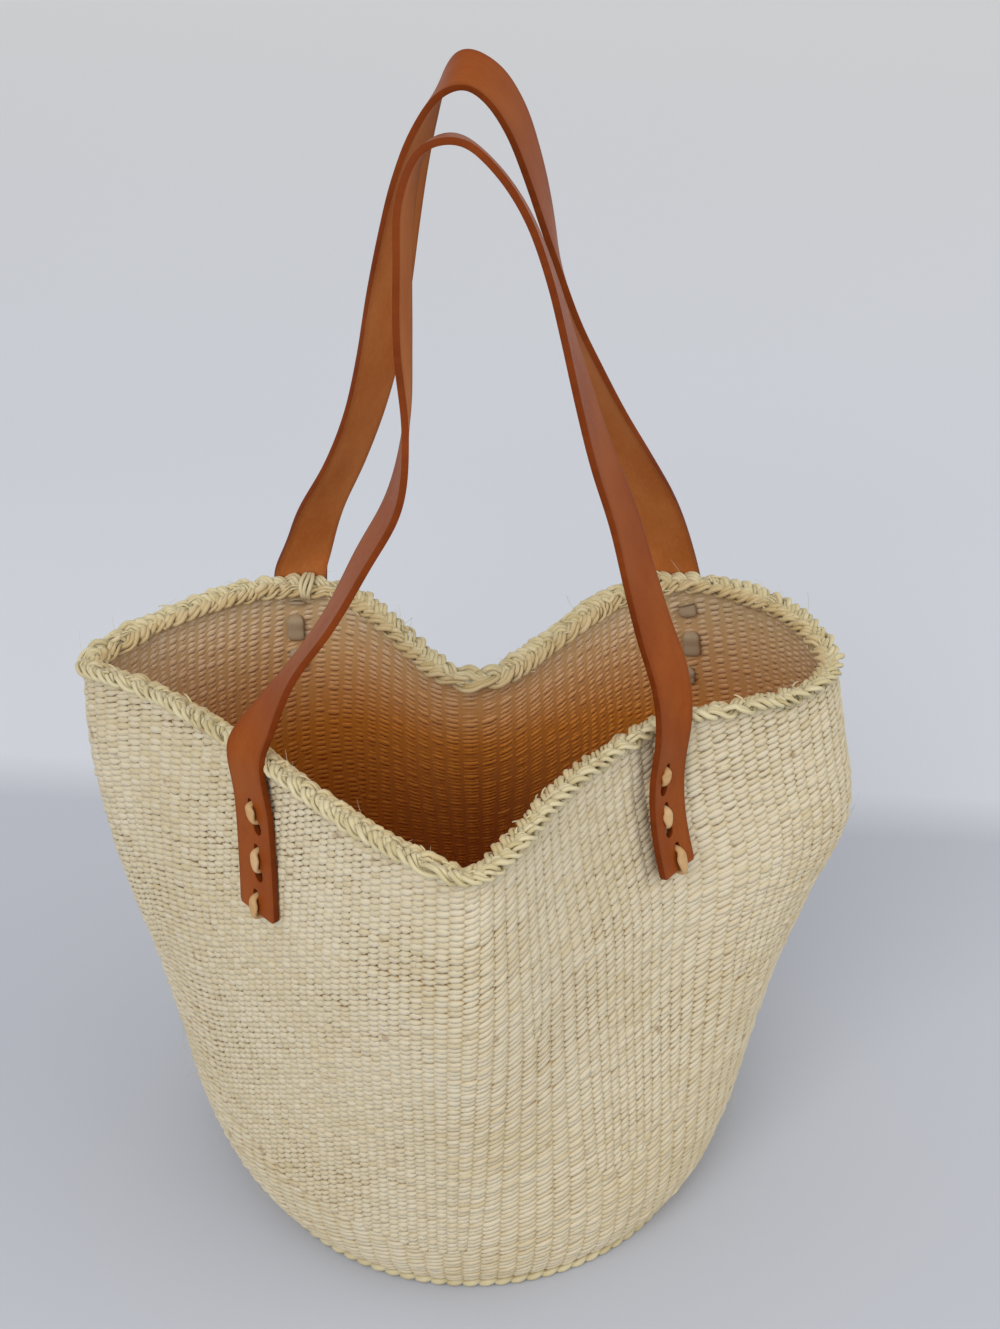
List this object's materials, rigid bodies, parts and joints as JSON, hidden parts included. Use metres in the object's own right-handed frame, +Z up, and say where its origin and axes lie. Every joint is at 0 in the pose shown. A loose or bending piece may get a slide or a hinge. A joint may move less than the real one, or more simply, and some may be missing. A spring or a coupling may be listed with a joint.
{
  "type": "woven handle basket",
  "caption": "Round woven basket with a pressed-in mouth, a plaited rim and leather strap handles laced to its wall.",
  "frame": {"origin": "middle of the round base, on the surface that the basket stands on", "axes": "+Z up, through the mouth; -Y towards the front, where the mouth comes to its pointed tip; +X to the basket's left as it faces the viewer, which is the right of the picture"},
  "size_m": [0.3721, 0.2777, 0.5607],
  "materials": {
    "sisal": "natural cream sisal cord, matt, closely twined",
    "rim_sisal": "natural cream sisal cord, matt, plaited",
    "strap_leather": "smooth tan leather, low sheen, with darker cut edges",
    "lace_leather": "pale undyed leather thong, matt"
  },
  "bodies": {
    "basket": {"woven_wall": "sisal", "plaited_rim": "rim_sisal", "woven_base": "sisal", "base_ridge": "rim_sisal", "front_strap_left_end": "strap_leather", "front_strap_left_bend": "strap_leather", "front_strap_right_bend": "strap_leather", "front_strap_right_end": "strap_leather", "rear_strap_left_end": "strap_leather", "rear_strap_left_bend": "strap_leather", "rear_strap_right_bend": "strap_leather", "rear_strap_right_end": "strap_leather", "front_left_lace": "lace_leather", "front_right_lace": "lace_leather", "rear_left_lace": "lace_leather", "rear_right_lace": "lace_leather"},
    "front_handle": {"front_strap_loop": "strap_leather"},
    "rear_handle": {"rear_strap_loop": "strap_leather"}
  },
  "joints": [
    {"name": "front_handle_swing", "type": "hinge", "parent": "basket", "child": "front_handle", "pos_m": [-0.00315, -0.06734, 0.2937], "axis": [0.9942, 0.1073, 0.0009], "range_deg": [-2, 98], "deforming": ["front_strap_left_bend", "front_strap_right_bend"]},
    {"name": "rear_handle_swing", "type": "hinge", "parent": "basket", "child": "rear_handle", "pos_m": [0.00713, 0.08359, 0.2933], "axis": [-0.9998, -0.0193, 0.0013], "range_deg": [-2, 150], "deforming": ["rear_strap_left_bend", "rear_strap_right_bend"]}
  ]
}
